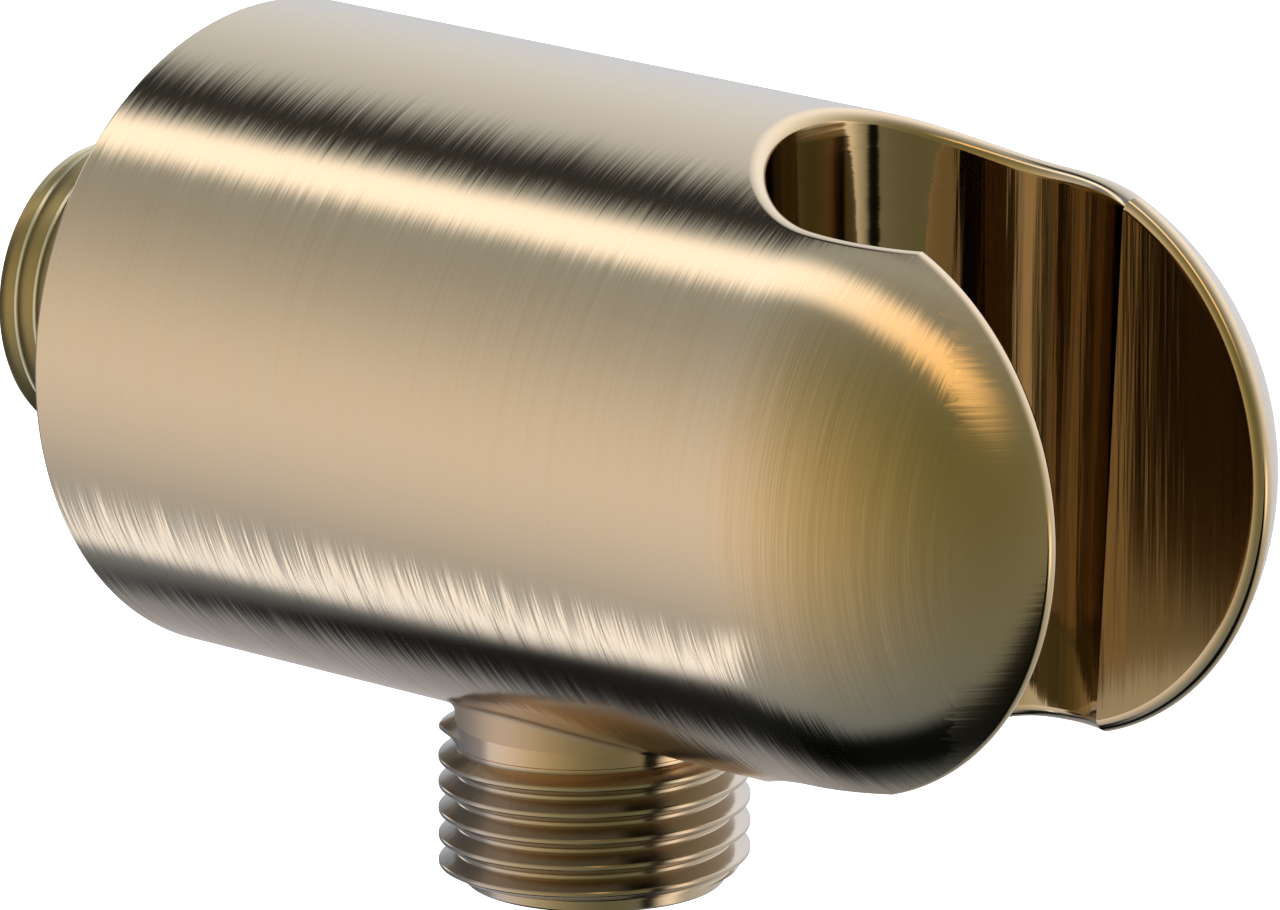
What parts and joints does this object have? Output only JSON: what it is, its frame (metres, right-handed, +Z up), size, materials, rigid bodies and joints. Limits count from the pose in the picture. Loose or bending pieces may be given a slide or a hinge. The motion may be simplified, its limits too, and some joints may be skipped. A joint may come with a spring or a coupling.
{
  "type": "shower wall outlet",
  "caption": "Round wall outlet for a shower hose: domed front open as a fork for a tapered hand shower, threaded nipple at the back, threaded outlet below with a non-return valve.",
  "frame": {"origin": "centre of the body's back face, in the plane of the wall", "axes": "+Y into the wall along the inlet nipple, -Y out into the room along the body, +Z up, the outlet pointing along -Z"},
  "size_m": [0.0445, 0.0969, 0.0556],
  "materials": {
    "body_brass": "brushed, coated in a pale bronze gold",
    "nipple_brass": "bright as turned, olive gold",
    "washer_fibre": "matt",
    "black_rubber": "matt",
    "cartridge_plastic": "satin, moulded",
    "poppet_plastic": "satin, moulded",
    "spring_steel": "bright drawn wire"
  },
  "bodies": {
    "wall_outlet": {"body": "body_brass", "inlet_nipple": "nipple_brass", "nipple_washer": "washer_fibre", "wall_gasket": "black_rubber", "valve_seat_sleeve": "cartridge_plastic", "valve_cage": "cartridge_plastic", "valve_spring": "spring_steel", "cartridge_seal": "black_rubber"},
    "poppet": {"valve_poppet": "poppet_plastic", "poppet_seal": "black_rubber"}
  },
  "joints": [
    {"name": "poppet_slide", "type": "slide", "parent": "wall_outlet", "child": "poppet", "axis": [0, 0, -1], "range_m": [0, 0.0025], "stiffness_N_per_m": 120, "springref_m": -0.001, "deforming": ["valve_spring"]}
  ]
}
